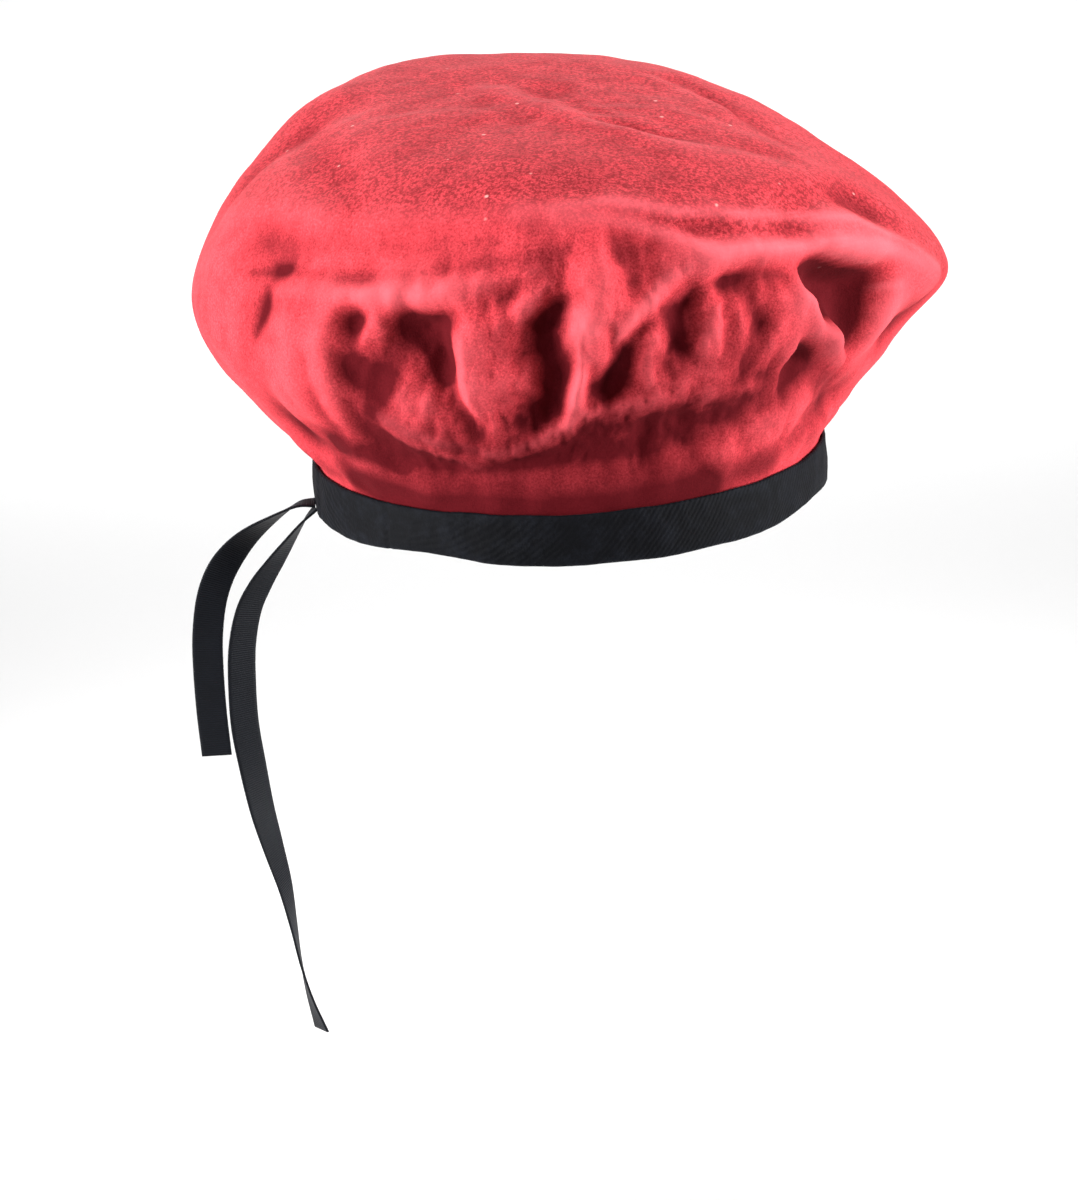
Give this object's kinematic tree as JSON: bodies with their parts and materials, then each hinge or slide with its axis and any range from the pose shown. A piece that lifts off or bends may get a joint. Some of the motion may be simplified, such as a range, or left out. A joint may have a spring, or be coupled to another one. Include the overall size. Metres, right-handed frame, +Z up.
{
  "type": "military beret",
  "caption": "Slouched wool military beret as worn: hollow crumpled felt crown, folded cloth binding round the head opening and two flat ribbon ties hanging at one side.",
  "frame": {"origin": "middle of the head opening, level with the lower edge of the binding, where the hat sits on a head", "axes": "+Z up, the wearer faces -Y, +X is the wearer's left"},
  "size_m": [0.2514, 0.2246, 0.311],
  "materials": {
    "wool": "brushed red wool cloth with a soft nap",
    "tape": "black twill tape, slightly worn",
    "ribbon": "black satin ribbon with fine ribs"
  },
  "bodies": {
    "root": {"crown": "wool", "binding": "tape", "tie_short": "ribbon", "tie_long": "ribbon"}
  },
  "joints": []
}
